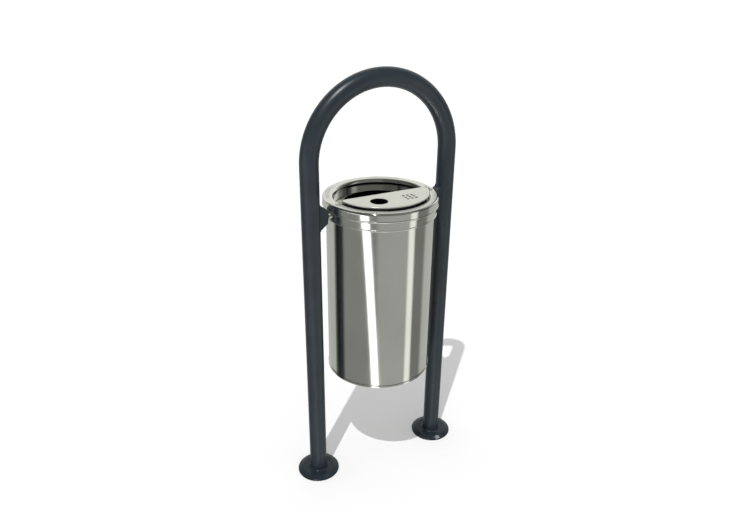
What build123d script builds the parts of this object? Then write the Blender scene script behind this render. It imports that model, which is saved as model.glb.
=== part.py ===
from build123d import *
import math
import os

# Litter bin: a round drum that hangs between the legs of a bent tube hoop and tips over to be emptied.
# Millimetres. +Z is up, X runs from the left leg to the right leg, -Y is the ashtray side.
# The origin is on the ground, midway between the two feet.

# Hoop
TUBE_R = 25.0
TUBE_WALL = 2.5
HALF_SPAN = 205.0
BEND_START_Z = 970.0

# Feet
FLANGE_R = 50.0
FLANGE_THICK = 5.0
ANCHOR_PCD = 78.0
ANCHOR_COUNT = 4
ANCHOR_START_ANGLE = 45.0
ANCHOR_HOLE_R = 5.5
ANCHOR_SINK_R = 9.5
COVER_R = 62.5
COVER_THICK = 1.5
COVER_NECK_GAP = 0.2
COVER_NECK_TOP_Z = 17.0
COVER_NECK_ROUND = 6.0
COVER_MOAT_Z = 9.0
COVER_SHOULDER_R = 48.0
COVER_SHOULDER_Z = 8.4
COVER_SHOULDER_ROUND = 12.0
COVER_RIM_Z = 3.2
COVER_RIM_ROUND = 2.5

# Drum
DRUM_R = 148.5
DRUM_SHEET = 1.2
DRUM_TOP_Z = 841.5
DRUM_EDGE_Z = 342.0
BASE_SEAM_R = 150.5
BASE_SEAM_TOP_Z = 346.0
BASE_BOTTOM_Z = 340.0
BASE_FLOOR_Z = 352.0
BASE_SEAM_ROUND = 0.7
DRAIN_HOLE_R = 4.0
DRAIN_HOLE_PCD = 120.0
DRAIN_HOLE_COUNT = 4
COLLAR_R = 152.8
COLLAR_BEAD_R = 154.2
COLLAR_BOTTOM_Z = 818.0
COLLAR_BEAD_TALL = 3.8
BEAD_ROUND = 1.5
BEAD_STEP_TALL = 0.8
BEAD_STEP_ROUND = 0.6

# Bag ring, which lies on the drum's top edge and carries an upright band for the rim of a bag
BAG_RING_OUTER_R = 152.0
BAG_RING_INNER_R = 105.0
BAG_RING_TOP_Z = 842.7
BAG_BAND_R = 128.5
BAG_BAND_TOP_Z = 852.3

# Lid ring
LID_SKIRT_R = 157.2
LID_BEAD_R = 158.2
LID_BEAD_TALL = 3.4
LID_SEAT_R = 149.0
LID_BOTTOM_Z = 842.9
LID_TOP_Z = 868.0
LID_OPENING_R = 127.5
LID_LIP_Z = 854.0
LID_EDGE_ROUND = 6.0
LID_LIP_ROUND = 10.5

# Ashtray: a half-round cover plate over a half-round pan, both hung in the lid's opening
PLATE_R = 132.2
PLATE_CHORD_Y = -21.5
PLATE_TOP_Z = 876.3
PLATE_THICK = 1.5
PLATE_RIM_TALL = 2.6
PLATE_EDGE_ROUND = 0.8
STUB_HOLE_R = 23.5
STUB_HOLE_X = -43.5
STUB_HOLE_Y = -73.0
VENT_ROWS = 3
VENT_PITCH = 12.6
VENT_HOLE_R = 4.0
VENT_X = 47.0
VENT_Y = -75.0
EAR_WIDTH = 10.0
EAR_MIDDLE_Y = -26.5
EAR_END_X = 145.0
EAR_REACH = 7.0
EAR_STEP = 4.5
EAR_BEND_R = 2.0
PAN_R = 125.5
PAN_CHORD_Y = -23.0
PAN_SHEET = 1.0
PAN_BOTTOM_Z = 849.5
PAN_EAR_THICK = 1.2

# Pivots, one on each side of the drum
PIVOT_Z = 830.0
SHOULDER_R = 6.0
BUSH_CLEARANCE = 0.05
BUSH_R = 8.0
BUSH_FLANGE_R = 10.5
BUSH_FLANGE_THICK = 1.8
BUSH_PROUD = 0.7
BOSS_R = 10.5
BOSS_END_X = 157.8
BACKING_THICK = 3.0
BACKING_HALF_WIDTH = 24.0
BACKING_BOTTOM_Z = 806.0
BACKING_TOP_Z = 839.5
THREAD_R = 5.0
THREAD_CLEARANCE = 0.25
BOLT_HEAD_R = 10.5
BOLT_HEAD_TALL = 6.0
BOLT_HEAD_ROUND = 2.0
BOLT_HEAD_GAP = 1.0
BOLT_SOCKET_ACROSS = 6.0
BOLT_SOCKET_DEEP = 3.5
BOLT_END_X = 177.0
WASHER_R = 9.0
WASHER_THICK = 2.0
NUT_ACROSS = 16.0
NUT_TALL = 8.0

# Hanger brackets, from the legs to the pivots
BRACKET_END_X = 160.0
BRACKET_HALF_WIDTH = 12.5
BRACKET_END_PLATE = 4.0
BRACKET_SHEET = 3.0
BRACKET_END_TOP_Z = 849.0
BRACKET_END_BOTTOM_Z = 813.0
BRACKET_TOP_SLOPE = 0.675
BRACKET_BOTTOM_SLOPE = 0.8
BRACKET_CORNER_R = 2.0

# Long enough for a bore to pass right through the drum
THROUGH_X = 400.0


def turned(outline):
    """A solid of revolution about Z from a closed outline drawn as (radius, height)."""
    return revolve(Plane.XZ * make_face(outline), Axis.Z)


def rolled_sheet(path, corner_radii, thickness, metal_side):
    """Sheet metal turned about Z from its outer face's (radius, height) path."""
    outer_face = FilletPolyline(*path, radius=corner_radii)
    return turned(offset(outer_face, amount=thickness, side=metal_side))


def upright_rod(radius, x, y, low_z, high_z):
    """A vertical cylinder between two heights."""
    middle = (low_z + high_z) / 2
    return Pos(x, y, middle) * Cylinder(radius, high_z - low_z)


def cross_rod(radius, low_x, high_x):
    """A cylinder on the pivot axis between two X positions."""
    middle = (low_x + high_x) / 2
    return Pos(middle, 0, PIVOT_Z) * Rot(0, 90, 0) * Cylinder(radius, high_x - low_x)


def half_round(radius, chord_y, low_z, high_z):
    """The part of a disc on the -Y side of a chord."""
    disc = upright_rod(radius, 0, 0, low_z, high_z)
    return split(disc, bisect_by=Plane.XZ.offset(-chord_y), keep=Keep.TOP)


def both_sides(piece):
    """A piece on the right-hand side, with its mirror image on the left."""
    return Compound(children=[piece, mirror(piece, about=Plane.YZ)])


def make_hoop_tube():
    """One tube, bent to a half circle over two straight legs that stand on the flanges."""
    left_leg = Line((-HALF_SPAN, 0, FLANGE_THICK), (-HALF_SPAN, 0, BEND_START_Z))
    crown = (0, 0, BEND_START_Z + HALF_SPAN)
    bend = ThreePointArc((-HALF_SPAN, 0, BEND_START_Z), crown, (HALF_SPAN, 0, BEND_START_Z))
    right_leg = Line((HALF_SPAN, 0, BEND_START_Z), (HALF_SPAN, 0, FLANGE_THICK))
    ring = Circle(TUBE_R) - Circle(TUBE_R - TUBE_WALL)
    section = Plane(origin=(-HALF_SPAN, 0, FLANGE_THICK)) * ring
    return sweep(section, path=Wire([left_leg, bend, right_leg]))


def make_base_flange(side):
    """A round steel flange with countersunk anchor holes, under one leg."""
    flange = upright_rod(FLANGE_R, 0, 0, 0, FLANGE_THICK)
    sink_deep = ANCHOR_SINK_R - ANCHOR_HOLE_R
    sink = Pos(0, 0, FLANGE_THICK - sink_deep / 2) * Cone(ANCHOR_HOLE_R, ANCHOR_SINK_R, sink_deep)
    hole = upright_rod(ANCHOR_HOLE_R, 0, 0, 0, FLANGE_THICK)
    holes = PolarLocations(ANCHOR_PCD / 2, ANCHOR_COUNT, start_angle=ANCHOR_START_ANGLE)
    for place in holes:
        flange -= place * hole
        flange -= place * sink
    return Pos(side * HALF_SPAN, 0, 0) * flange


def make_base_cover(side):
    """A thin domed cover that hides one flange and stands on the ground around it."""
    neck_r = TUBE_R + COVER_NECK_GAP + COVER_THICK
    neck_top = (neck_r, COVER_NECK_TOP_Z)
    neck_foot = (neck_r, COVER_MOAT_Z)
    shoulder = (COVER_SHOULDER_R, COVER_SHOULDER_Z)
    rim_top = (COVER_R, COVER_RIM_Z)
    corner_radii = [COVER_NECK_ROUND, COVER_SHOULDER_ROUND, COVER_RIM_ROUND]
    path = [neck_top, neck_foot, shoulder, rim_top, (COVER_R, 0)]
    return Pos(side * HALF_SPAN, 0, 0) * rolled_sheet(path, corner_radii, COVER_THICK, Side.RIGHT)


def bracket_outline(inset_end, inset_edges):
    """The bracket's side view as a face in the XZ plane, drawn smaller by the two insets."""
    run = HALF_SPAN - BRACKET_END_X
    near_x = BRACKET_END_X + inset_end
    near_top = BRACKET_END_TOP_Z + BRACKET_TOP_SLOPE * inset_end - inset_edges
    near_bottom = BRACKET_END_BOTTOM_Z - BRACKET_BOTTOM_SLOPE * inset_end
    far_top = BRACKET_END_TOP_Z + BRACKET_TOP_SLOPE * run - inset_edges
    far_bottom = BRACKET_END_BOTTOM_Z - BRACKET_BOTTOM_SLOPE * run
    corners = [(near_x, near_bottom), (HALF_SPAN, far_bottom), (HALF_SPAN, far_top), (near_x, near_top)]
    return make_face(Polyline(*corners, close=True))


def make_bracket():
    """The right-hand hanger: a folded steel box, open underneath, coped to fit the leg."""
    box = extrude(Plane.XZ * bracket_outline(0, 0), BRACKET_HALF_WIDTH, both=True)
    long_edges = box.edges().filter_by(Axis.Y, reverse=True)
    front_edges = long_edges.filter_by(lambda edge: abs(edge.center().Y) > BRACKET_HALF_WIDTH / 2)
    box = fillet(front_edges, BRACKET_CORNER_R)
    hollow_half = BRACKET_HALF_WIDTH - BRACKET_SHEET
    hollow = extrude(Plane.XZ * bracket_outline(BRACKET_END_PLATE, BRACKET_SHEET), hollow_half, both=True)
    below = Pos(0, 0, -BRACKET_SHEET) * hollow
    leg = upright_rod(TUBE_R, HALF_SPAN, 0, 0, BEND_START_Z)
    bolt_hole = cross_rod(THREAD_R + THREAD_CLEARANCE, BRACKET_END_X, BRACKET_END_X + 2 * BRACKET_END_PLATE)
    return box - hollow - below - leg - bolt_hole


def make_pivot_bolt():
    """The right-hand shoulder bolt, put in from inside the drum."""
    head_face_x = DRUM_R - DRUM_SHEET - BACKING_THICK - BOLT_HEAD_GAP
    head_end_x = head_face_x - BOLT_HEAD_TALL
    head = cross_rod(BOLT_HEAD_R, head_end_x, head_face_x)
    head = fillet(head.edges().sort_by(Axis.X)[0], BOLT_HEAD_ROUND)
    shoulder = cross_rod(SHOULDER_R, head_face_x, BRACKET_END_X)
    thread = cross_rod(THREAD_R, BRACKET_END_X, BOLT_END_X)
    key = Pos(head_end_x, 0, PIVOT_Z) * Rot(0, 90, 0)
    socket = extrude(key * RegularPolygon(BOLT_SOCKET_ACROSS / 2, 6, major_radius=False), BOLT_SOCKET_DEEP)
    return head + shoulder + thread - socket


def make_pivot_washer():
    """The right-hand washer under the pivot nut, inside the bracket."""
    low_x = BRACKET_END_X + BRACKET_END_PLATE
    return cross_rod(WASHER_R, low_x, low_x + WASHER_THICK) - cross_rod(THREAD_R, low_x, low_x + WASHER_THICK)


def make_pivot_nut():
    """The right-hand pivot nut, with two flats facing the bracket's side walls."""
    low_x = BRACKET_END_X + BRACKET_END_PLATE + WASHER_THICK
    seat = Pos(low_x, 0, PIVOT_Z) * Rot(0, 90, 0)
    nut = extrude(seat * RegularPolygon(NUT_ACROSS / 2, 6, major_radius=False), NUT_TALL)
    return nut - cross_rod(THREAD_R, low_x, low_x + NUT_TALL)


def make_drum_shell():
    """The drum's rolled sheet wall, with a pivot hole on each side."""
    outer = upright_rod(DRUM_R, 0, 0, DRUM_EDGE_Z, DRUM_TOP_Z)
    inner = upright_rod(DRUM_R - DRUM_SHEET, 0, 0, DRUM_EDGE_Z, DRUM_TOP_Z)
    return outer - inner - cross_rod(BUSH_R, -THROUGH_X, THROUGH_X)


def make_drum_base():
    """A recessed floor whose flange is seamed around the drum's bottom edge, with drain holes."""
    inner_r = DRUM_R - DRUM_SHEET
    flange_r = inner_r - DRUM_SHEET
    underside_z = BASE_FLOOR_Z - DRUM_SHEET
    corners = [
        (0, underside_z),
        (flange_r, underside_z),
        (flange_r, BASE_BOTTOM_Z),
        (BASE_SEAM_R, BASE_BOTTOM_Z),
        (BASE_SEAM_R, BASE_SEAM_TOP_Z),
        (DRUM_R, BASE_SEAM_TOP_Z),
        (DRUM_R, DRUM_EDGE_Z),
        (inner_r, DRUM_EDGE_Z),
        (inner_r, BASE_FLOOR_Z),
        (0, BASE_FLOOR_Z),
    ]
    corner_radii = [0, 0, BASE_SEAM_ROUND, BASE_SEAM_ROUND, BASE_SEAM_ROUND, 0, 0, 0, 0, 0]
    base = turned(FilletPolyline(*corners, radius=corner_radii, close=True))
    hole = upright_rod(DRAIN_HOLE_R, 0, 0, BASE_BOTTOM_Z, BASE_FLOOR_Z)
    for place in PolarLocations(DRAIN_HOLE_PCD / 2, DRAIN_HOLE_COUNT):
        base -= place * hole
    return base


def make_drum_collar():
    """The formed band around the drum's top, beaded at its lower edge, with a hole for each boss."""
    bead_top_z = COLLAR_BOTTOM_Z + COLLAR_BEAD_TALL
    path = [
        (DRUM_R, COLLAR_BOTTOM_Z),
        (COLLAR_BEAD_R, COLLAR_BOTTOM_Z),
        (COLLAR_BEAD_R, bead_top_z),
        (COLLAR_R, bead_top_z + BEAD_STEP_TALL),
        (COLLAR_R, DRUM_TOP_Z),
        (DRUM_R, DRUM_TOP_Z),
    ]
    collar = rolled_sheet(path, [BEAD_ROUND, BEAD_ROUND, BEAD_STEP_ROUND, BEAD_ROUND], DRUM_SHEET, Side.LEFT)
    return collar - cross_rod(BOSS_R, -THROUGH_X, THROUGH_X)


def make_bag_ring():
    """A flat ring with an upright band that a bag's rim is folded over."""
    ring = upright_rod(BAG_RING_OUTER_R, 0, 0, DRUM_TOP_Z, BAG_RING_TOP_Z)
    band = upright_rod(BAG_BAND_R + DRUM_SHEET, 0, 0, BAG_RING_TOP_Z, BAG_BAND_TOP_Z)
    band -= upright_rod(BAG_BAND_R, 0, 0, BAG_RING_TOP_Z, BAG_BAND_TOP_Z)
    return ring - upright_rod(BAG_RING_INNER_R, 0, 0, DRUM_TOP_Z, BAG_RING_TOP_Z) + band


def make_backing_plate():
    """The right-hand curved plate that stiffens the drum's wall around the pivot."""
    middle_z = (BACKING_BOTTOM_Z + BACKING_TOP_Z) / 2
    tall = BACKING_TOP_Z - BACKING_BOTTOM_Z
    outer_r = DRUM_R - DRUM_SHEET
    ring = upright_rod(outer_r, 0, 0, BACKING_BOTTOM_Z, BACKING_TOP_Z)
    ring -= upright_rod(outer_r - BACKING_THICK, 0, 0, BACKING_BOTTOM_Z, BACKING_TOP_Z)
    window = Pos(outer_r, 0, middle_z) * Box(outer_r, 2 * BACKING_HALF_WIDTH, tall)
    return (ring & window) - cross_rod(BUSH_R, 0, THROUGH_X)


def make_pivot_boss():
    """The right-hand boss, welded to the drum's wall, which stands out through the collar."""
    boss = cross_rod(BOSS_R, DRUM_R - BOSS_R, BOSS_END_X)
    drum_space = upright_rod(DRUM_R, 0, 0, DRUM_EDGE_Z, LID_TOP_Z)
    return boss - drum_space - cross_rod(BUSH_R, 0, THROUGH_X)


def make_pivot_bush():
    """The right-hand flanged plastic bush, pressed into the boss, which turns on the bolt's shoulder."""
    inner_end_x = DRUM_R - DRUM_SHEET - BACKING_THICK - BUSH_PROUD
    sleeve = cross_rod(BUSH_R, inner_end_x, BOSS_END_X)
    flange = cross_rod(BUSH_FLANGE_R, BOSS_END_X, BOSS_END_X + BUSH_FLANGE_THICK)
    return sleeve + flange - cross_rod(SHOULDER_R + BUSH_CLEARANCE, 0, THROUGH_X)


def make_lid_ring():
    """The lid: a beaded skirt, a flat top and a lip rolled down into the opening, in one sheet."""
    bead_top_z = LID_BOTTOM_Z + LID_BEAD_TALL
    path = [
        (LID_SEAT_R, LID_BOTTOM_Z),
        (LID_BEAD_R, LID_BOTTOM_Z),
        (LID_BEAD_R, bead_top_z),
        (LID_SKIRT_R, bead_top_z + BEAD_STEP_TALL),
        (LID_SKIRT_R, LID_TOP_Z),
        (LID_OPENING_R, LID_TOP_Z),
        (LID_OPENING_R, LID_LIP_Z),
    ]
    corner_radii = [BEAD_ROUND, BEAD_ROUND, BEAD_STEP_ROUND, LID_EDGE_ROUND, LID_LIP_ROUND]
    return rolled_sheet(path, corner_radii, DRUM_SHEET, Side.LEFT)


def make_ash_pan():
    """The half-round pan under the cover plate, hung from the lid by an ear at each end."""
    outer = half_round(PAN_R, PAN_CHORD_Y, PAN_BOTTOM_Z, LID_TOP_Z)
    inner = half_round(PAN_R - PAN_SHEET, PAN_CHORD_Y - PAN_SHEET, PAN_BOTTOM_Z + PAN_SHEET, LID_TOP_Z)
    wall_x = math.sqrt((PAN_R - PAN_SHEET) ** 2 - (EAR_MIDDLE_Y - EAR_WIDTH / 2) ** 2)
    ear = Box(EAR_END_X - wall_x, EAR_WIDTH, PAN_EAR_THICK, align=(Align.MIN, Align.CENTER, Align.MIN))
    ear = Pos(wall_x, EAR_MIDDLE_Y, LID_TOP_Z) * ear
    return outer - inner + ear + mirror(ear, about=Plane.YZ)


def make_plate_ear():
    """The right-hand foot of the cover plate: a bent strip from its rim down to the pan's ear."""
    foot_z = LID_TOP_Z + PAN_EAR_THICK
    top_z = PLATE_TOP_Z - PLATE_THICK
    root_x = math.sqrt(PLATE_R**2 - (EAR_MIDDLE_Y - EAR_WIDTH / 2) ** 2) - 2 * PLATE_THICK
    bend_x = root_x + EAR_REACH
    path = [(root_x, top_z), (bend_x, top_z), (bend_x + EAR_STEP, foot_z), (EAR_END_X, foot_z)]
    strip = FilletPolyline(*path, radius=[EAR_BEND_R, EAR_BEND_R])
    section = Plane.XZ.offset(-EAR_MIDDLE_Y) * make_face(offset(strip, amount=PLATE_THICK, side=Side.LEFT))
    return extrude(section, EAR_WIDTH / 2, both=True)


def make_ashtray_plate():
    """The half-round cover plate, with its stub hole, stub-out perforations and two feet."""
    rim_z = PLATE_TOP_Z - PLATE_RIM_TALL
    plate = half_round(PLATE_R, PLATE_CHORD_Y, rim_z, PLATE_TOP_Z)
    plate = fillet(plate.edges().group_by(Axis.Z)[-1], PLATE_EDGE_ROUND)
    pocket_top_z = PLATE_TOP_Z - PLATE_THICK
    plate -= half_round(PLATE_R - PLATE_THICK, PLATE_CHORD_Y - PLATE_THICK, rim_z, pocket_top_z)
    plate -= upright_rod(STUB_HOLE_R, STUB_HOLE_X, STUB_HOLE_Y, rim_z, PLATE_TOP_Z)
    vent = upright_rod(VENT_HOLE_R, VENT_X, VENT_Y, rim_z, PLATE_TOP_Z)
    for place in GridLocations(VENT_PITCH, VENT_PITCH, VENT_ROWS, VENT_ROWS):
        plate -= place * vent
    ear = make_plate_ear()
    return plate + ear + mirror(ear, about=Plane.YZ)


def make_parts():
    """Every node's solid or group of solids, by name."""
    parts = {"hoop_tube": make_hoop_tube()}
    for name, side in (("left", -1), ("right", 1)):
        parts[name + "_base_flange"] = make_base_flange(side)
        parts[name + "_base_cover"] = make_base_cover(side)
    bracket = make_bracket()
    parts["right_bracket"] = bracket
    parts["left_bracket"] = mirror(bracket, about=Plane.YZ)
    parts["pivot_bolts"] = both_sides(make_pivot_bolt())
    parts["pivot_washers"] = both_sides(make_pivot_washer())
    parts["pivot_nuts"] = both_sides(make_pivot_nut())
    parts["drum_shell"] = make_drum_shell()
    parts["drum_base"] = make_drum_base()
    parts["drum_collar"] = make_drum_collar()
    parts["backing_plates"] = both_sides(make_backing_plate())
    parts["pivot_bosses"] = both_sides(make_pivot_boss())
    parts["pivot_bushes"] = both_sides(make_pivot_bush())
    parts["bag_ring"] = make_bag_ring()
    parts["lid_ring"] = make_lid_ring()
    parts["ash_pan"] = make_ash_pan()
    parts["ashtray_plate"] = make_ashtray_plate()
    return parts


os.makedirs("parts", exist_ok=True)
for node, shape in make_parts().items():
    export_step(shape, os.path.join("parts", node + ".step"))
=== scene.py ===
import math

import bmesh
import bpy
from mathutils import Matrix, Vector
from mathutils.geometry import delaunay_2d_cdt


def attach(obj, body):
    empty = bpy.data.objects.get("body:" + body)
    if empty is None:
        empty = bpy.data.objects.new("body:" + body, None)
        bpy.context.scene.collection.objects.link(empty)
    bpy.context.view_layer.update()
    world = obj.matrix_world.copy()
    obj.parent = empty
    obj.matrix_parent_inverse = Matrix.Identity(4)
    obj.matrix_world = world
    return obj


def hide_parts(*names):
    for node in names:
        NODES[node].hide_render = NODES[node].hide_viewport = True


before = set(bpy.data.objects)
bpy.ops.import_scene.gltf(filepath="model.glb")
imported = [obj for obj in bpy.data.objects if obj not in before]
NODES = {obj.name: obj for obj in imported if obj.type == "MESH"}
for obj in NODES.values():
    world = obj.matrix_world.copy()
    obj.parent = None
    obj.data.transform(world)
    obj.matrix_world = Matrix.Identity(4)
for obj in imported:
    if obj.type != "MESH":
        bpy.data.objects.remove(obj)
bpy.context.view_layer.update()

MM = 0.001

# ---------------------------------------------------------------------------------------------------------
# Sizes in millimetres, as in the CAD
# ---------------------------------------------------------------------------------------------------------

SHEET = 1.2
HALF_SPAN = 205.0
TUBE_R = 25.0
TUBE_WALL = 2.5
TUBE_FOOT_Z = 5.0
BEND_START_Z = 970.0
DRUM_R = 148.5
DRUM_BOTTOM_Z = 342.0
DRUM_TOP_Z = 841.5
PIVOT_Z = 830.0
BUSH_R = 8.0
BOSS_R = 10.5

COLLAR_PATH = [(148.5, 818), (154.2, 818), (154.2, 821.8), (152.8, 822.6), (152.8, 841.5), (148.5, 841.5)]
COLLAR_ROUNDS = [1.5, 1.5, 0.6, 1.5]
BAG_RING_OUTLINE = [
    (152, 842.7), (129.7, 842.7), (129.7, 852.3), (128.5, 852.3), (128.5, 842.7), (105, 842.7), (105, 841.5),
    (152, 841.5),
]
BAG_RING_ROUNDS = [0.3, 0.5, 0.5, 0.3, 0.4, 0.4]
LID_PATH = [
    (149, 842.9), (158.2, 842.9), (158.2, 846.3), (157.2, 847.1), (157.2, 868), (127.5, 868), (127.5, 854),
]
LID_ROUNDS = [1.5, 1.5, 0.6, 6, 10.5]
LID_FLAT_OUTER_R = 151.2
LID_FLAT_INNER_R = 138.0

PLATE_R = 132.2
PLATE_CHORD_Y = -21.5
PLATE_TOP_Z = 876.3
PLATE_THICK = 1.5
PLATE_RIM_TALL = 2.6
PLATE_EDGE_ROUND = 0.8
STUB_HOLE = (-43.5, -73.0, 23.5)
VENT_MIDDLE = (47.0, -75.0)
VENT_PITCH = 12.6
VENT_R = 4.0
HOLE_EDGE_ROUND = 0.35
EAR_Y = -26.5
EAR_WIDTH = 10.0
EAR_PATH = [(125.4, 874.8), (132.4, 874.8), (136.9, 869.2), (145, 869.2)]
EAR_ROUNDS = [2, 2]
EAR_EDGES = [(-0.5, 0.25), (-0.47, 0.07), (-0.44, 0.0), (0.44, 0.0), (0.47, 0.07), (0.5, 0.25)]
EAR_EDGE_SHRINK = 0.2

BRACKET_HALF_WIDTH = 12.5
BRACKET_TOP_AT_AXIS_Z = 879.375
BRACKET_TOP_SLOPE = 0.675
BRACKET_BOTTOM_AT_AXIS_Z = 777.0
BRACKET_BOTTOM_SLOPE = 0.8
WELD_R = 2.1
WELD_RIPPLE = 0.28
WELD_RIPPLE_PITCH = 2.6

SEAM_FOOT_Z = 347
SEAM_HEAD_Z = 818
SEAM_HALF_WIDTH = 2.6
SEAM_PROUD = 0.35
SEAM_SUNK = 0.3
SEAM_RIPPLE = 0.03
SEAM_RIPPLE_RATE = 1.9

# How finely the shapes are divided
ARC_STEP = math.radians(9)
SUPPORT = 0.35
MERGE_WITHIN = 0.002
TURN_STEPS = 240
TUBE_STEPS = 72
BEND_STEPS = 128
LEG_STEPS = 12
BORE_STEPS = 64
WELD_STEPS = 14
WELD_WALL_STEPS = 60
WELD_TOP_STEPS = 24
SEAM_STEPS = 12
SEAM_RISE = 3
PLATE_ARC_STEPS = 144
PLATE_CHORD_STEPS = 24
EDGE_STEPS = 5
STUB_STEPS = 72
VENT_STEPS = 24
SMOOTH_BELOW = math.radians(35)


# ---------------------------------------------------------------------------------------------------------
# Shapes
# ---------------------------------------------------------------------------------------------------------

def rounded(points, radii):
    """The polyline with an arc at each inner corner, and points beside it that keep straight runs flat."""
    points = [Vector(point) for point in points]
    halves = []
    for before, corner, after in zip(points, points[1:], points[2:]):
        halves.append((before - corner).angle(after - corner) / 2)
    reaches = [0.0] + [radius / math.tan(half) for radius, half in zip(radii, halves)] + [0.0]
    path = [points[0]]
    for i, (radius, half) in enumerate(zip(radii, halves), 1):
        corner = points[i]
        back = (points[i - 1] - corner).normalized()
        ahead = (points[i + 1] - corner).normalized()
        free_back = (points[i - 1] - corner).length - reaches[i] - reaches[i - 1]
        free_ahead = (points[i + 1] - corner).length - reaches[i] - reaches[i + 1]
        middle = corner + (back + ahead).normalized() * (radius / math.sin(half))
        start = corner + back * reaches[i] - middle
        turn = math.pi - 2 * half
        steps = max(2, math.ceil(turn / ARC_STEP))
        sign = 1 if back.x * ahead.y - back.y * ahead.x < 0 else -1
        path.append(corner + back * (reaches[i] + min(SUPPORT, free_back / 3)))
        for k in range(steps + 1):
            angle = sign * turn * k / steps
            c, s = math.cos(angle), math.sin(angle)
            path.append(middle + Vector((start.x * c - start.y * s, start.x * s + start.y * c)))
        path.append(corner + ahead * (reaches[i] + min(SUPPORT, free_ahead / 3)))
    path.append(points[-1])
    return path


def sheet_outline(path, thickness):
    """A closed outline from a face's path, with the metal on the path's left."""
    inner = []
    for i, point in enumerate(path):
        sides = []
        if i > 0:
            sides.append((point - path[i - 1]).normalized())
        if i < len(path) - 1:
            sides.append((path[i + 1] - point).normalized())
        normals = [Vector((-d.y, d.x)) for d in sides]
        miter = sum(normals, Vector((0, 0))).normalized()
        inner.append(point + miter * thickness / miter.dot(normals[0]))
    return path + inner[::-1]


def face_outward(mesh, merge_within):
    """Merges points that lie together and turns every face outward."""
    builder = bmesh.new()
    builder.from_mesh(mesh)
    bmesh.ops.remove_doubles(builder, verts=builder.verts, dist=merge_within)
    bmesh.ops.recalc_face_normals(builder, faces=builder.faces)
    builder.to_mesh(mesh)
    builder.free()


def finish_mesh(name, mesh, body, material, replaced=()):
    """A shaded object from mesh data in millimetres, riding on a CAD body."""
    face_outward(mesh, MERGE_WITHIN)
    mesh.transform(Matrix.Scale(MM, 4))
    mesh.shade_smooth()
    mesh.set_sharp_from_angle(angle=SMOOTH_BELOW)
    mesh.materials.clear()
    mesh.materials.append(material)
    piece = bpy.data.objects.new(name, mesh)
    bpy.context.scene.collection.objects.link(piece)
    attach(piece, body)
    if replaced:
        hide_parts(*replaced)
    return piece


def skin(name, loops, close_rows=False, capped=False):
    """A mesh of quads between closed loops of points that all have the same length."""
    count = len(loops[0])
    points = [point for loop in loops for point in loop]
    faces = []
    rows = len(loops) if close_rows else len(loops) - 1
    for row in range(rows):
        this, following = row * count, (row + 1) % len(loops) * count
        for i in range(count):
            j = (i + 1) % count
            faces.append((this + i, this + j, following + j, following + i))
    if capped:
        faces.append(tuple(range(count)))
        faces.append(tuple(range((len(loops) - 1) * count, len(loops) * count)))
    mesh = bpy.data.meshes.new(name)
    mesh.from_pydata(points, [], faces)
    return mesh


def turned(name, outline):
    """A closed outline of (radius, height) points turned about Z."""
    loops = []
    for i in range(TURN_STEPS):
        angle = 2 * math.pi * i / TURN_STEPS
        loops.append([(p.x * math.cos(angle), p.x * math.sin(angle), p.y) for p in outline])
    return skin(name, loops, close_rows=True)


def tube_along(name, centres, radii):
    """A capped tube of varying radius along a path that has no twist."""
    loops = []
    side = None
    for i, centre in enumerate(centres):
        ahead = centres[min(i + 1, len(centres) - 1)] - centres[max(i - 1, 0)]
        ahead.normalize()
        if side is None:
            side = ahead.orthogonal().normalized()
        side = (side - ahead * side.dot(ahead)).normalized()
        other = ahead.cross(side)
        loop = []
        for k in range(WELD_STEPS):
            angle = 2 * math.pi * k / WELD_STEPS
            loop.append(centre + (side * math.cos(angle) + other * math.sin(angle)) * radii[i])
        loops.append(loop)
    return skin(name, loops, capped=True)


def bored(mesh, radius):
    """The mesh in millimetres with a hole of that radius along the pivot axis."""
    loops = []
    for x in (-2 * DRUM_R, 2 * DRUM_R):
        loop = []
        for k in range(BORE_STEPS):
            angle = 2 * math.pi * (k + 0.5) / BORE_STEPS
            loop.append((x, radius * math.cos(angle), PIVOT_Z + radius * math.sin(angle)))
        loops.append(loop)
    drill = skin("cutter", loops, capped=True)
    face_outward(drill, 0)
    face_outward(mesh, 0)
    cutter = bpy.data.objects.new("cutter", drill)
    target = bpy.data.objects.new("target", mesh)
    for temporary in (cutter, target):
        bpy.context.scene.collection.objects.link(temporary)
    modifier = target.modifiers.new("bore", "BOOLEAN")
    modifier.operation = "DIFFERENCE"
    modifier.object = cutter
    evaluated = target.evaluated_get(bpy.context.evaluated_depsgraph_get())
    result = bpy.data.meshes.new_from_object(evaluated)
    for temporary in (cutter, target):
        bpy.data.objects.remove(temporary)
    return result


# ---------------------------------------------------------------------------------------------------------
# Materials
# ---------------------------------------------------------------------------------------------------------

def add_node(tree, kind, settings=None, inputs=None):
    """A node with its settings, and its input sockets linked or given values."""
    node = tree.nodes.new(kind)
    for key, value in (settings or {}).items():
        setattr(node, key, value)
    for key, value in (inputs or {}).items():
        if isinstance(value, bpy.types.NodeSocket):
            tree.links.new(value, node.inputs[key])
        else:
            node.inputs[key].default_value = value
    return node


def noise(tree, place, stretch, detail=3.0, roughness=0.5):
    """A noise value, with that many features a metre along each axis."""
    mapped = add_node(tree, "ShaderNodeMapping", None, {"Vector": place, "Scale": stretch})
    settings = {"noise_dimensions": "3D"}
    inputs = {"Vector": mapped.outputs["Vector"], "Scale": 1.0, "Detail": detail, "Roughness": roughness}
    return add_node(tree, "ShaderNodeTexNoise", settings, inputs).outputs["Fac"]


def spread(tree, value, low, high, start=0.3, end=0.7):
    """The value moved from the range start to end into the range low to high."""
    inputs = {"Value": value, "From Min": start, "From Max": end, "To Min": low, "To Max": high}
    return add_node(tree, "ShaderNodeMapRange", None, inputs).outputs["Result"]


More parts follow.
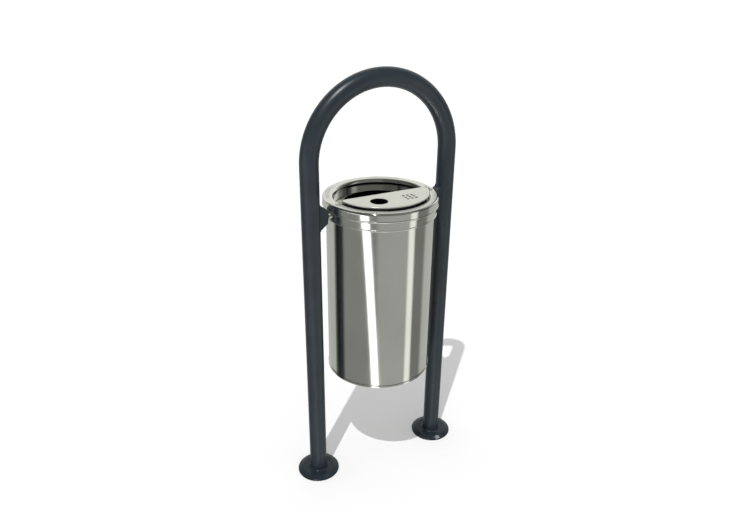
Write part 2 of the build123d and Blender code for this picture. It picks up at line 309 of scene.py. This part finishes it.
def mixed_colour(tree, share, first, second):
    """Two colours mixed; each is a socket or three numbers."""
    node = add_node(tree, "ShaderNodeMix", {"data_type": "RGBA"})
    tree.links.new(share, node.inputs[0])
    for socket, colour in ((node.inputs[6], first), (node.inputs[7], second)):
        if isinstance(colour, bpy.types.NodeSocket):
            tree.links.new(colour, socket)
        else:
            socket.default_value = (*colour, 1)
    return node.outputs[2]


def bumped(tree, height, distance, strength=1.0, under=None):
    """A normal from a height, on top of another normal if one is given."""
    inputs = {"Height": height, "Distance": distance, "Strength": strength}
    if under is not None:
        inputs["Normal"] = under
    return add_node(tree, "ShaderNodeBump", None, inputs).outputs["Normal"]


def new_material(name):
    """A material, its node tree, its shader and the object-space position."""
    made = bpy.data.materials.new(name)
    made.use_nodes = True
    tree = made.node_tree
    shader = tree.nodes["Principled BSDF"]
    place = add_node(tree, "ShaderNodeTexCoord").outputs["Object"]
    return made, tree, shader, place


def link_shader(tree, shader, **sources):
    """Links node outputs to the shader's sockets; an underscore in a name stands for a space."""
    for key, source in sources.items():
        tree.links.new(source, shader.inputs[key.replace("_", " ")])


def powder_coat(name, dark, light, roughness, specular):
    """Anthracite polyester powder: fine orange peel, a slight mottle and a fine speck."""
    made, tree, shader, place = new_material(name)
    mottle = noise(tree, place, (14, 14, 14), 4.0)
    speck = noise(tree, place, (1900, 1900, 1900), 2.0)
    peel = noise(tree, place, (620, 620, 620), 2.0)
    tint = spread(tree, mottle, 0.0, 0.8)
    grain = spread(tree, speck, -0.12, 0.12)
    mixed = add_node(tree, "ShaderNodeMath", {"operation": "ADD", "use_clamp": True}, {0: tint, 1: grain})
    colour = mixed_colour(tree, mixed.outputs[0], dark, light)
    gloss = spread(tree, mottle, roughness - 0.04, roughness + 0.04)
    normal = bumped(tree, peel, 0.00006, 0.5)
    link_shader(tree, shader, Base_Color=colour, Roughness=gloss, Normal=normal)
    shader.inputs["Specular IOR Level"].default_value = specular
    return made


def polished_steel():
    """Mirror-polished stainless sheet, with faint rings left by the polishing belt and soft smears."""
    made, tree, shader, place = new_material("polished_stainless")
    smear = noise(tree, place, (9, 9, 5), 5.0, 0.6)
    belt = noise(tree, place, (5, 5, 1500), 3.0, 0.6)
    sheet_wave = noise(tree, place, (6, 6, 1.6), 1.0)
    colour = mixed_colour(tree, spread(tree, smear, 0, 1), (0.70, 0.70, 0.67), (0.78, 0.78, 0.755))
    gloss = spread(tree, smear, 0.055, 0.11)
    waves = bumped(tree, sheet_wave, 0.0009, 0.35)
    normal = bumped(tree, belt, 0.000012, 0.5, waves)
    link_shader(tree, shader, Base_Color=colour, Roughness=gloss, Normal=normal)
    shader.inputs["Metallic"].default_value = 1.0
    return made


def satin_steel(name, grain, roughness, metallic):
    """Brushed stainless sheet; grain is the number of brush marks a metre along each axis."""
    made, tree, shader, place = new_material(name)
    patch = noise(tree, place, (22, 22, 22), 4.0)
    brush = noise(tree, place, grain, 3.0, 0.65)
    colour = mixed_colour(tree, spread(tree, brush, 0, 1), (0.62, 0.625, 0.58), (0.74, 0.745, 0.695))
    gloss = spread(tree, patch, roughness - 0.03, roughness + 0.03)
    normal = bumped(tree, brush, 0.00003, 0.5)
    link_shader(tree, shader, Base_Color=colour, Roughness=gloss, Normal=normal)
    shader.inputs["Metallic"].default_value = metallic
    return made


def zinc_plate():
    """Bright zinc on fasteners and flanges: grey, with a faint warm and blue mottle."""
    made, tree, shader, place = new_material("zinc_plate")
    mottle = noise(tree, place, (190, 190, 190), 4.0)
    colour = mixed_colour(tree, spread(tree, mottle, 0, 1), (0.52, 0.54, 0.56), (0.66, 0.64, 0.58))
    gloss = spread(tree, mottle, 0.28, 0.42)
    normal = bumped(tree, noise(tree, place, (1500, 1500, 1500)), 0.00003, 0.4)
    link_shader(tree, shader, Base_Color=colour, Roughness=gloss, Normal=normal)
    shader.inputs["Metallic"].default_value = 1.0
    return made


def painted_shade_lining():
    """A near-black lining, dull and slightly pitted: painted shade that darkens the inside of the drum."""
    made, tree, shader, place = new_material("drum_painted_shade_lining")
    patch = noise(tree, place, (35, 35, 35), 4.0)
    pits = noise(tree, place, (900, 900, 900), 2.0)
    colour = mixed_colour(tree, spread(tree, patch, 0, 1), (0.004, 0.004, 0.0045), (0.011, 0.011, 0.012))
    gloss = spread(tree, patch, 0.65, 0.78)
    normal = bumped(tree, pits, 0.00004, 0.5)
    link_shader(tree, shader, Base_Color=colour, Roughness=gloss, Normal=normal)
    shader.inputs["Specular IOR Level"].default_value = 0.25
    return made


def ash_pan_painted_shade_finish():
    """Near-black enamel, painted shade for the dark gap under the plate, worn to bare satin steel on the two
    ears that the pan hangs by.
    """
    made, tree, shader, place = new_material("ash_pan_painted_shade_enamel")
    patch = noise(tree, place, (35, 35, 35), 4.0)
    scratches = noise(tree, place, (18, 700, 700), 3.0)
    across = add_node(tree, "ShaderNodeSeparateXYZ", None, {0: place}).outputs["X"]
    outward = add_node(tree, "ShaderNodeMath", {"operation": "ABSOLUTE"}, {0: across}).outputs[0]
    bare = spread(tree, outward, 0, 1, 0.1275, 0.1290)
    # Near-black: painted shade for the gap between the plate and the lid ring.
    black = mixed_colour(tree, spread(tree, patch, 0, 1), (0.004, 0.004, 0.0045), (0.011, 0.011, 0.012))
    steel = mixed_colour(tree, spread(tree, scratches, 0, 1), (0.62, 0.625, 0.58), (0.74, 0.745, 0.695))
    gloss = spread(tree, patch, 0.34, 0.48)
    normal = bumped(tree, scratches, 0.00003, 0.5)
    colour = mixed_colour(tree, bare, black, steel)
    link_shader(tree, shader, Base_Color=colour, Metallic=bare, Roughness=gloss, Normal=normal)
    return made


def bush_plastic():
    """Black nylon with a faint moulding texture and a waxy sheen."""
    made, tree, shader, place = new_material("bush_nylon")
    cloud = noise(tree, place, (120, 120, 120), 3.0)
    colour = mixed_colour(tree, spread(tree, cloud, 0, 1), (0.018, 0.018, 0.019), (0.032, 0.032, 0.033))
    gloss = spread(tree, cloud, 0.36, 0.46)
    normal = bumped(tree, noise(tree, place, (1400, 1400, 1400)), 0.00002, 0.4)
    link_shader(tree, shader, Base_Color=colour, Roughness=gloss, Normal=normal)
    return made


POWDER = powder_coat("anthracite_powder_coat", (0.0165, 0.0245, 0.0325), (0.0245, 0.0345, 0.0445), 0.36, 0.45)
GLOSS_POWDER = powder_coat("anthracite_gloss_coat", (0.0135, 0.0200, 0.0260), (0.0185, 0.0260, 0.0330),
                           0.14, 0.22)
POLISHED = polished_steel()
BRUSHED_TOP = satin_steel("satin_stainless_lid", (900, 18, 900), 0.34, 0.65)
BRUSHED_PLATE = satin_steel("satin_stainless_plate", (18, 900, 900), 0.30, 0.85)
ZINC = zinc_plate()
PAN_PAINTED_SHADE_FINISH = ash_pan_painted_shade_finish()
PAINTED_SHADE_LINING = painted_shade_lining()
NYLON = bush_plastic()

# ---------------------------------------------------------------------------------------------------------
# Hoop
# ---------------------------------------------------------------------------------------------------------

def hoop_centres():
    """The tube's centreline, up the left leg, over the half circle and down the right leg."""
    leg_tall = BEND_START_Z - TUBE_FOOT_Z
    leg = [TUBE_FOOT_Z + leg_tall * i / LEG_STEPS for i in range(LEG_STEPS + 1)]
    centres = [Vector((-HALF_SPAN, 0, z)) for z in leg]
    for i in range(1, BEND_STEPS):
        angle = math.pi * (1 - i / BEND_STEPS)
        centres.append(Vector((HALF_SPAN * math.cos(angle), 0, BEND_START_Z + HALF_SPAN * math.sin(angle))))
    return centres + [Vector((HALF_SPAN, 0, z)) for z in reversed(leg)]


def make_hoop():
    """The bent tube with its open bore."""
    centres = hoop_centres()
    loops = []
    for radius in (TUBE_R, TUBE_R - TUBE_WALL):
        rows = []
        for i, centre in enumerate(centres):
            ahead = (centres[min(i + 1, len(centres) - 1)] - centres[max(i - 1, 0)]).normalized()
            out = Vector((0, 1, 0)).cross(ahead)
            row = []
            for k in range(TUBE_STEPS):
                angle = 2 * math.pi * k / TUBE_STEPS
                row.append(centre + (out * math.cos(angle) + Vector((0, math.sin(angle), 0))) * radius)
            rows.append(row)
        loops.append(rows)
    mesh = skin("hoop", loops[0] + loops[1][::-1], close_rows=True)
    finish_mesh("hoop_tube_finished", mesh, "hoop", POWDER, ["hoop_tube"])


def make_bracket_weld(name, side):
    """The rippled fillet weld between a bracket and its leg: up one wall, across the top and down."""
    gap = HALF_SPAN - math.sqrt(TUBE_R**2 - BRACKET_HALF_WIDTH**2)
    top = BRACKET_TOP_AT_AXIS_Z - BRACKET_TOP_SLOPE * (HALF_SPAN - gap)
    bottom = BRACKET_BOTTOM_AT_AXIS_Z + BRACKET_BOTTOM_SLOPE * (HALF_SPAN - gap)
    corners = []
    for i in range(WELD_WALL_STEPS + 1):
        corners.append(Vector((gap, -BRACKET_HALF_WIDTH, bottom + (top - bottom) * i / WELD_WALL_STEPS)))
    for i in range(1, WELD_TOP_STEPS):
        y = -BRACKET_HALF_WIDTH + 2 * BRACKET_HALF_WIDTH * i / WELD_TOP_STEPS
        x = HALF_SPAN - math.sqrt(TUBE_R**2 - y**2)
        corners.append(Vector((x, y, BRACKET_TOP_AT_AXIS_Z - BRACKET_TOP_SLOPE * (HALF_SPAN - x))))
    for i in range(WELD_WALL_STEPS + 1):
        corners.append(Vector((gap, BRACKET_HALF_WIDTH, top + (bottom - top) * i / WELD_WALL_STEPS)))
    centres, radii, travelled = [], [], 0.0
    for i, corner in enumerate(corners):
        if i:
            travelled += (corner - corners[i - 1]).length
        centres.append(Vector((side * corner.x, corner.y, corner.z)))
        radii.append(WELD_R + WELD_RIPPLE * math.sin(2 * math.pi * travelled / WELD_RIPPLE_PITCH))
    mesh = tube_along(name, centres, radii)
    finish_mesh(name, mesh, "hoop", POWDER)


make_hoop()
make_bracket_weld("left_bracket_weld", -1)
make_bracket_weld("right_bracket_weld", 1)

# ---------------------------------------------------------------------------------------------------------
# Drum
# ---------------------------------------------------------------------------------------------------------

def make_drum_shell():
    """The drum's wall, polished outside, with a near-black lining of painted shade inside."""
    inner_r = DRUM_R - SHEET
    heights = [DRUM_BOTTOM_Z, 520.0, 680.0, 800.0, 815.0, 838.0, DRUM_TOP_Z]
    outline = [Vector((DRUM_R, z)) for z in heights] + [Vector((inner_r, z)) for z in reversed(heights)]
    mesh = bored(turned("shell", outline), BUSH_R)
    finish_mesh("drum_shell_finished", mesh, "drum", POLISHED, ["drum_shell"])
    # The inward faces get the near-black lining, which paints shade inside the drum.
    mesh.materials.append(PAINTED_SHADE_LINING)
    for face in mesh.polygons:
        middle = face.center
        if face.normal.x * middle.x + face.normal.y * middle.y < 0:
            face.material_index = 1


def make_sheet_ring(name, path, rounds, body, material, replaced, bore_radius=None):
    """A turned sheet-metal ring, from the path of its outer face."""
    mesh = turned(name, sheet_outline(rounded(path, rounds), SHEET))
    if bore_radius:
        mesh = bored(mesh, bore_radius)
    return finish_mesh(name, mesh, body, material, [replaced])


def make_bag_ring():
    """The flat ring on the drum's top edge, with its inner lip and its upright band."""
    mesh = turned("bag_ring", rounded(BAG_RING_OUTLINE, BAG_RING_ROUNDS))
    finish_mesh("bag_ring_finished", mesh, "drum", POLISHED, ["bag_ring"])


def make_lid():
    """The lid ring, polished on its skirt and lip and brushed on its flat top."""
    lid = make_sheet_ring("lid_ring_finished", LID_PATH, LID_ROUNDS, "lid", POLISHED,
                          "lid_ring")
    lid.data.materials.append(BRUSHED_TOP)
    for face in lid.data.polygons:
        reach = face.center.xy.length
        if face.normal.z > 0.99 and LID_FLAT_INNER_R * MM < reach < LID_FLAT_OUTER_R * MM:
            face.material_index = 1


def make_drum_seam():
    """The dressed weld down the drum's back, from the base seam to the collar."""
    loops = []
    for z in range(SEAM_FOOT_Z, SEAM_HEAD_Z, SEAM_RISE):
        loop = []
        ripple = SEAM_RIPPLE * math.sin(z * SEAM_RIPPLE_RATE)
        for k in range(SEAM_STEPS + 1):
            across = -1 + 2 * k / SEAM_STEPS
            proud = SEAM_PROUD * math.sqrt(max(0.0, 1 - across**2)) + ripple
            x = SEAM_HALF_WIDTH * across
            loop.append((x, math.sqrt(DRUM_R**2 - x**2) + proud * (1 - across**2) ** 0.25, z))
        for k in range(SEAM_STEPS, -1, -1):
            x = SEAM_HALF_WIDTH * (-1 + 2 * k / SEAM_STEPS)
            loop.append((x, math.sqrt(DRUM_R**2 - x**2) - SEAM_SUNK, z))
        loops.append(loop)
    mesh = skin("seam", loops, capped=True)
    finish_mesh("drum_back_seam", mesh, "drum", POLISHED)


make_drum_shell()
make_drum_seam()
make_sheet_ring("drum_collar_finished", COLLAR_PATH, COLLAR_ROUNDS, "drum", POLISHED,
                "drum_collar", BOSS_R)
make_bag_ring()
make_lid()

# ---------------------------------------------------------------------------------------------------------
# Ashtray cover plate
# ---------------------------------------------------------------------------------------------------------

def half_disc(inset, z):
    """The plate's outline, inset from its edge, as a loop of points at one height."""
    radius = PLATE_R - inset
    chord_y = PLATE_CHORD_Y - inset
    half = math.sqrt(radius**2 - chord_y**2)
    start = math.atan2(chord_y, -half) + 2 * math.pi
    end = math.atan2(chord_y, half) + 2 * math.pi
    loop = []
    for i in range(PLATE_ARC_STEPS + 1):
        angle = start + (end - start) * i / PLATE_ARC_STEPS
        loop.append((radius * math.cos(angle), radius * math.sin(angle), z))
    for i in range(1, PLATE_CHORD_STEPS):
        loop.append((half - 2 * half * i / PLATE_CHORD_STEPS, chord_y, z))
    return loop


def hole_loop(x, y, radius, z, steps):
    """A circle of points at one height."""
    turns = [2 * math.pi * k / steps for k in range(steps)]
    return [(x + radius * math.cos(a), y + radius * math.sin(a), z) for a in turns]


def edge_steps(round_radius):
    """(inset, drop) pairs down a quarter-round edge, from the flat face to the side."""
    quarter = [math.pi / 2 * i / EDGE_STEPS for i in range(EDGE_STEPS + 1)]
    return [(round_radius * (1 - math.sin(a)), round_radius * (1 - math.cos(a))) for a in quarter]


def add_skin(builder, loops):
    """Adds the quads between loops to a bmesh, and gives back the rows of vertices."""
    rows = [[builder.verts.new(point) for point in loop] for loop in loops]
    for row, following in zip(rows, rows[1:]):
        for i in range(len(row)):
            j = (i + 1) % len(row)
            builder.faces.new((row[i], row[j], following[j], following[i]))
    return rows


def add_flat(builder, outer, holes):
    """Fills the flat region between a loop of vertices and the loops of its holes."""
    loops = [outer] + holes
    verts = [v for loop in loops for v in loop]
    edges, start = [], 0
    for loop in loops:
        edges += [(start + i, start + (i + 1) % len(loop)) for i in range(len(loop))]
        start += len(loop)
    flat = [Vector((v.co.x, v.co.y)) for v in verts]
    found = delaunay_2d_cdt(flat, edges, [], 1, 1e-6)
    origins = [source[0] for source in found[3]]
    circles = []
    for hole in holes:
        middle = sum((v.co for v in hole), Vector()) / len(hole)
        circles.append((middle, (hole[0].co - middle).length))
    for face in found[2]:
        centre = sum((found[0][i] for i in face), Vector((0, 0))) / len(face)
        if all((centre - middle.xy).length > radius * 0.999 for middle, radius in circles):
            builder.faces.new([verts[origins[i]] for i in face])


def plate_holes():
    """Every hole in the plate as x, y, radius and number of steps."""
    holes = [(*STUB_HOLE, STUB_STEPS)]
    for i in (-1, 0, 1):
        for j in (-1, 0, 1):
            x, y = VENT_MIDDLE[0] + i * VENT_PITCH, VENT_MIDDLE[1] + j * VENT_PITCH
            holes.append((x, y, VENT_R, VENT_STEPS))
    return holes


def make_ashtray_plate():
    """The pressed half-round plate: rounded edges, a turned-down rim, and dressed holes."""
    builder = bmesh.new()
    under_z = PLATE_TOP_Z - PLATE_THICK
    rim_z = PLATE_TOP_Z - PLATE_RIM_TALL
    outside = [half_disc(inset, PLATE_TOP_Z - drop) for inset, drop in edge_steps(PLATE_EDGE_ROUND)]
    outside += [half_disc(0, rim_z), half_disc(PLATE_THICK, rim_z), half_disc(PLATE_THICK, under_z)]
    outer_rows = add_skin(builder, outside)
    top_holes, under_holes = [], []
    for x, y, radius, steps in plate_holes():
        loops = []
        for inset, drop in edge_steps(HOLE_EDGE_ROUND):
            loops.append(hole_loop(x, y, radius + inset, PLATE_TOP_Z - drop, steps))
        loops.append(hole_loop(x, y, radius, under_z, steps))
        rows = add_skin(builder, loops)
        top_holes.append(rows[0])
        under_holes.append(rows[-1])
    add_flat(builder, outer_rows[0], top_holes)
    add_flat(builder, outer_rows[-1], under_holes)
    mesh = bpy.data.meshes.new("plate")
    builder.to_mesh(mesh)
    builder.free()
    finish_mesh("ashtray_plate_finished", mesh, "cover_plate", BRUSHED_PLATE,
                ["ashtray_plate"])


def make_plate_foot(name, side):
    """One bent foot of the plate, a rounded strip from under its rim down to the pan's ear."""
    face = sheet_outline(rounded(EAR_PATH, EAR_ROUNDS), PLATE_THICK)
    middle = sum(face, Vector((0, 0))) / len(face)
    loops = []
    for share, inset in EAR_EDGES:
        shrink = 1 - inset / PLATE_THICK * EAR_EDGE_SHRINK
        y = EAR_Y + share * EAR_WIDTH
        loops.append([(side * p.x, y, middle.y + (p.y - middle.y) * shrink) for p in face])
    mesh = skin(name, loops, capped=True)
    finish_mesh(name, mesh, "cover_plate", BRUSHED_PLATE)


make_ashtray_plate()
make_plate_foot("left_plate_foot", -1)
make_plate_foot("right_plate_foot", 1)

# ---------------------------------------------------------------------------------------------------------
# Finishes of the CAD pieces that stay
# ---------------------------------------------------------------------------------------------------------

FINISHES = {
    "left_base_cover": GLOSS_POWDER,
    "right_base_cover": GLOSS_POWDER,
    "left_bracket": POWDER,
    "right_bracket": POWDER,
    "left_base_flange": ZINC,
    "right_base_flange": ZINC,
    "pivot_bolts": ZINC,
    "pivot_washers": ZINC,
    "pivot_nuts": ZINC,
    "drum_base": POLISHED,
    "backing_plates": POLISHED,
    "pivot_bosses": POLISHED,
    "pivot_bushes": NYLON,
    "ash_pan": PAN_PAINTED_SHADE_FINISH,
}
for node, finish in FINISHES.items():
    for slot in NODES[node].material_slots:
        slot.material = finish

# ---------------------------------------------------------------------------------------------------------
# Floor, light and camera
# ---------------------------------------------------------------------------------------------------------

CAMERA_PLACE = Vector((-0.8008, -1.4802, 1.4478))
CAMERA_YAW = 0.4882982
CAMERA_PITCH = 0.4410772
CAMERA_ROLL = 0.0121330
CAMERA_LENS = 31.478
SUN_SLOPE = Vector((0.3816, 0.3859, -1))
SUN_STRENGTH = 1.85
SUN_ANGLE = 0.6
LAMP_TOWARD = Vector((-0.37, -0.10, -0.92))
LAMP_STRENGTH = 0.34
LAMP_ANGLE = 7.0
FLOOR_HALF = 40.0
FILL = 0.71
BACKDROP = 0.985

# A plain studio for reflections: walls, flags and a soft box, each from one bearing to another with one
# even brightness, and the same again for the ceiling, dimmed. Bearings are in degrees from the viewing side.
PANELS = [
    (-180, -115, 0.5),
    (-110, -85, 0.1),
    (-80, -10, 0.25),
    (0, 60, 0.4),
    (65, 75, 1.0),
    (80, 105, 0.2),
    (115, 180, 0.5),
]
PANEL_TINT = (1.0, 1.01, 0.95)
CEILING_SHARE = 0.4
GROUND = (1.2, 1.2, 1.2)
BACK_WALL = (0.9, 0.9, 0.85)

# A leaning box of light, whose bearing moves by KEY_LEAN as the height goes from 0 to 1
KEY_BEARING = -70.0
KEY_LEAN = -110.0
KEY_HALF_WIDTH = 8.0
KEY_EDGE = 2.0
KEY_BRIGHT = 2.2

# Where one region gives way to the next, by height, from -1 straight down to 1 straight up. The back wall
# is also limited by depth, from -1 straight behind the bin to 1 straight toward the viewing side.
GROUND_BELOW = (-0.77, -0.90)
HORIZON = (-0.08, 0.06)
WALL_ABOVE = (-0.05, 0.15)
WALL_BEHIND = (-0.45, -0.80)


def make_camera():
    """The camera at the viewing angle that the scene is set up for."""
    ahead = Vector((
        math.sin(CAMERA_YAW) * math.cos(CAMERA_PITCH),
        math.cos(CAMERA_YAW) * math.cos(CAMERA_PITCH),
        -math.sin(CAMERA_PITCH),
    ))
    level = Vector((math.cos(CAMERA_YAW), -math.sin(CAMERA_YAW), 0))
    upright = level.cross(ahead)
    right = level * math.cos(CAMERA_ROLL) + upright * math.sin(CAMERA_ROLL)
    up = upright * math.cos(CAMERA_ROLL) - level * math.sin(CAMERA_ROLL)
    camera = bpy.data.objects.new("camera", bpy.data.cameras.new("camera"))
    camera.data.lens = CAMERA_LENS
    camera.data.clip_end = 200.0
    turn = Matrix((right, up, -ahead)).transposed().to_4x4()
    camera.matrix_world = Matrix.Translation(CAMERA_PLACE) @ turn
    bpy.context.scene.collection.objects.link(camera)
    bpy.context.scene.camera = camera


def make_floor():
    """A wide pale floor. It is left out of reflections, where the studio's panels show instead."""
    mesh = bpy.data.meshes.new("floor")
    h = FLOOR_HALF
    mesh.from_pydata([(-h, -h, 0), (h, -h, 0), (h, h, 0), (-h, h, 0)], [], [(0, 1, 2, 3)])
    made, tree, shader, place = new_material("pale_floor")
    cloud = noise(tree, place, (2, 2, 2), 3.0)
    colour = mixed_colour(tree, spread(tree, cloud, 0, 1), (0.845, 0.845, 0.845), (0.86, 0.86, 0.86))
    link_shader(tree, shader, Base_Color=colour)
    shader.inputs["Roughness"].default_value = 0.9
    shader.inputs["Specular IOR Level"].default_value = 0.0
    mesh.materials.append(made)
    floor = bpy.data.objects.new("floor", mesh)
    floor.visible_glossy = False
    bpy.context.scene.collection.objects.link(floor)


def make_sun(name, toward, strength, angle):
    """A distant light that shines in one direction; its angle is its apparent size in degrees."""
    sun = bpy.data.objects.new(name, bpy.data.lights.new(name, "SUN"))
    sun.data.energy = strength
    sun.data.angle = math.radians(angle)
    sun.rotation_mode = "QUATERNION"
    sun.rotation_quaternion = toward.to_track_quat("-Z", "Y")
    bpy.context.scene.collection.objects.link(sun)
    return sun


def make_lights():
    """The key light, high on the left, and a small lamp that only the base covers receive."""
    make_sun("key_light", SUN_SLOPE, SUN_STRENGTH, SUN_ANGLE)
    lamp = make_sun("highlight_lamp", LAMP_TOWARD, LAMP_STRENGTH, LAMP_ANGLE)
    covers = bpy.data.collections.new("highlighted_covers")
    for node in ("left_base_cover", "right_base_cover"):
        covers.objects.link(NODES[node])
    lamp.light_linking.receiver_collection = covers


def math_node(tree, operation, *values):
    """The result of one Math node."""
    inputs = dict(enumerate(values))
    return add_node(tree, "ShaderNodeMath", {"operation": operation}, inputs).outputs[0]


def step_up(tree, value, start, end):
    """A smooth step from 0 at start to 1 at end."""
    return add_node(tree, "ShaderNodeMapRange", {"interpolation_type": "SMOOTHSTEP"},
                    {"Value": value, "From Min": start, "From Max": end}).outputs["Result"]


def panel_ramp(tree, turn, share):
    """The panels' colour for a bearing given as a part of a full turn, at a share of their brightness."""
    ramp = add_node(tree, "ShaderNodeValToRGB", None, {"Fac": turn})
    stops = ramp.color_ramp.elements
    while len(stops) > 1:
        stops.remove(stops[-1])
    edges = [(bearing, bright) for start, end, bright in PANELS for bearing in (start, end)]
    for i, (bearing, bright) in enumerate(edges):
        place = (bearing + 180) / 360
        stop = stops[0] if i == 0 else stops.new(place)
        stop.position = place
        stop.color = (*(bright * share * part for part in PANEL_TINT), 1)
    return ramp.outputs["Color"]


def make_world():
    """Even white light for the scene, and a plain room of panels for reflections."""
    world = bpy.data.worlds.new("studio")
    bpy.context.scene.world = world
    world.use_nodes = True
    tree = world.node_tree
    tree.nodes.clear()
    direction = add_node(tree, "ShaderNodeTexCoord").outputs["Generated"]
    toward_camera = math.atan2(CAMERA_PLACE.y, CAMERA_PLACE.x)
    turned_to = add_node(tree, "ShaderNodeMapping", {"vector_type": "POINT"},
                         {"Vector": direction, "Rotation": (0, 0, -toward_camera)})
    axes = add_node(tree, "ShaderNodeSeparateXYZ", None, {0: turned_to.outputs[0]}).outputs
    degrees = math_node(tree, "DEGREES", math_node(tree, "ARCTAN2", axes["Y"], axes["X"]))
    turn = spread(tree, degrees, 0, 1, -180, 180)
    height = axes["Z"]
    low = panel_ramp(tree, turn, 1.0)
    high = panel_ramp(tree, turn, CEILING_SHARE)
    key_middle = math_node(tree, "MULTIPLY_ADD", height, KEY_LEAN, KEY_BEARING)
    off_key = math_node(tree, "ABSOLUTE", math_node(tree, "SUBTRACT", degrees, key_middle))
    key = step_up(tree, off_key, KEY_HALF_WIDTH + KEY_EDGE, KEY_HALF_WIDTH - KEY_EDGE)
    lit = mixed_colour(tree, key, low, (KEY_BRIGHT, KEY_BRIGHT, KEY_BRIGHT))
    lit = mixed_colour(tree, step_up(tree, height, *GROUND_BELOW), lit, GROUND)
    whole = mixed_colour(tree, step_up(tree, height, *HORIZON), lit, high)
    behind = step_up(tree, axes["X"], *WALL_BEHIND)
    wall = math_node(tree, "MULTIPLY", behind, step_up(tree, height, *WALL_ABOVE))
    room = mixed_colour(tree, wall, whole, BACK_WALL)
    reflected = add_node(tree, "ShaderNodeBackground", None, {"Color": room, "Strength": 1.0})
    even = add_node(tree, "ShaderNodeBackground", None, {"Color": (*(FILL,) * 3, 1), "Strength": 1.0})
    seen = add_node(tree, "ShaderNodeBackground", None, {"Color": (*(BACKDROP,) * 3, 1), "Strength": 1.0})
    rays = add_node(tree, "ShaderNodeLightPath").outputs
    first = add_node(tree, "ShaderNodeMixShader", None,
                     {0: rays["Is Glossy Ray"], 1: even.outputs[0], 2: reflected.outputs[0]})
    second = add_node(tree, "ShaderNodeMixShader", None,
                      {0: rays["Is Camera Ray"], 1: first.outputs[0], 2: seen.outputs[0]})
    add_node(tree, "ShaderNodeOutputWorld", None, {"Surface": second.outputs[0]})


make_camera()
make_floor()
make_lights()
make_world()
bpy.context.scene.view_settings.view_transform = "Standard"
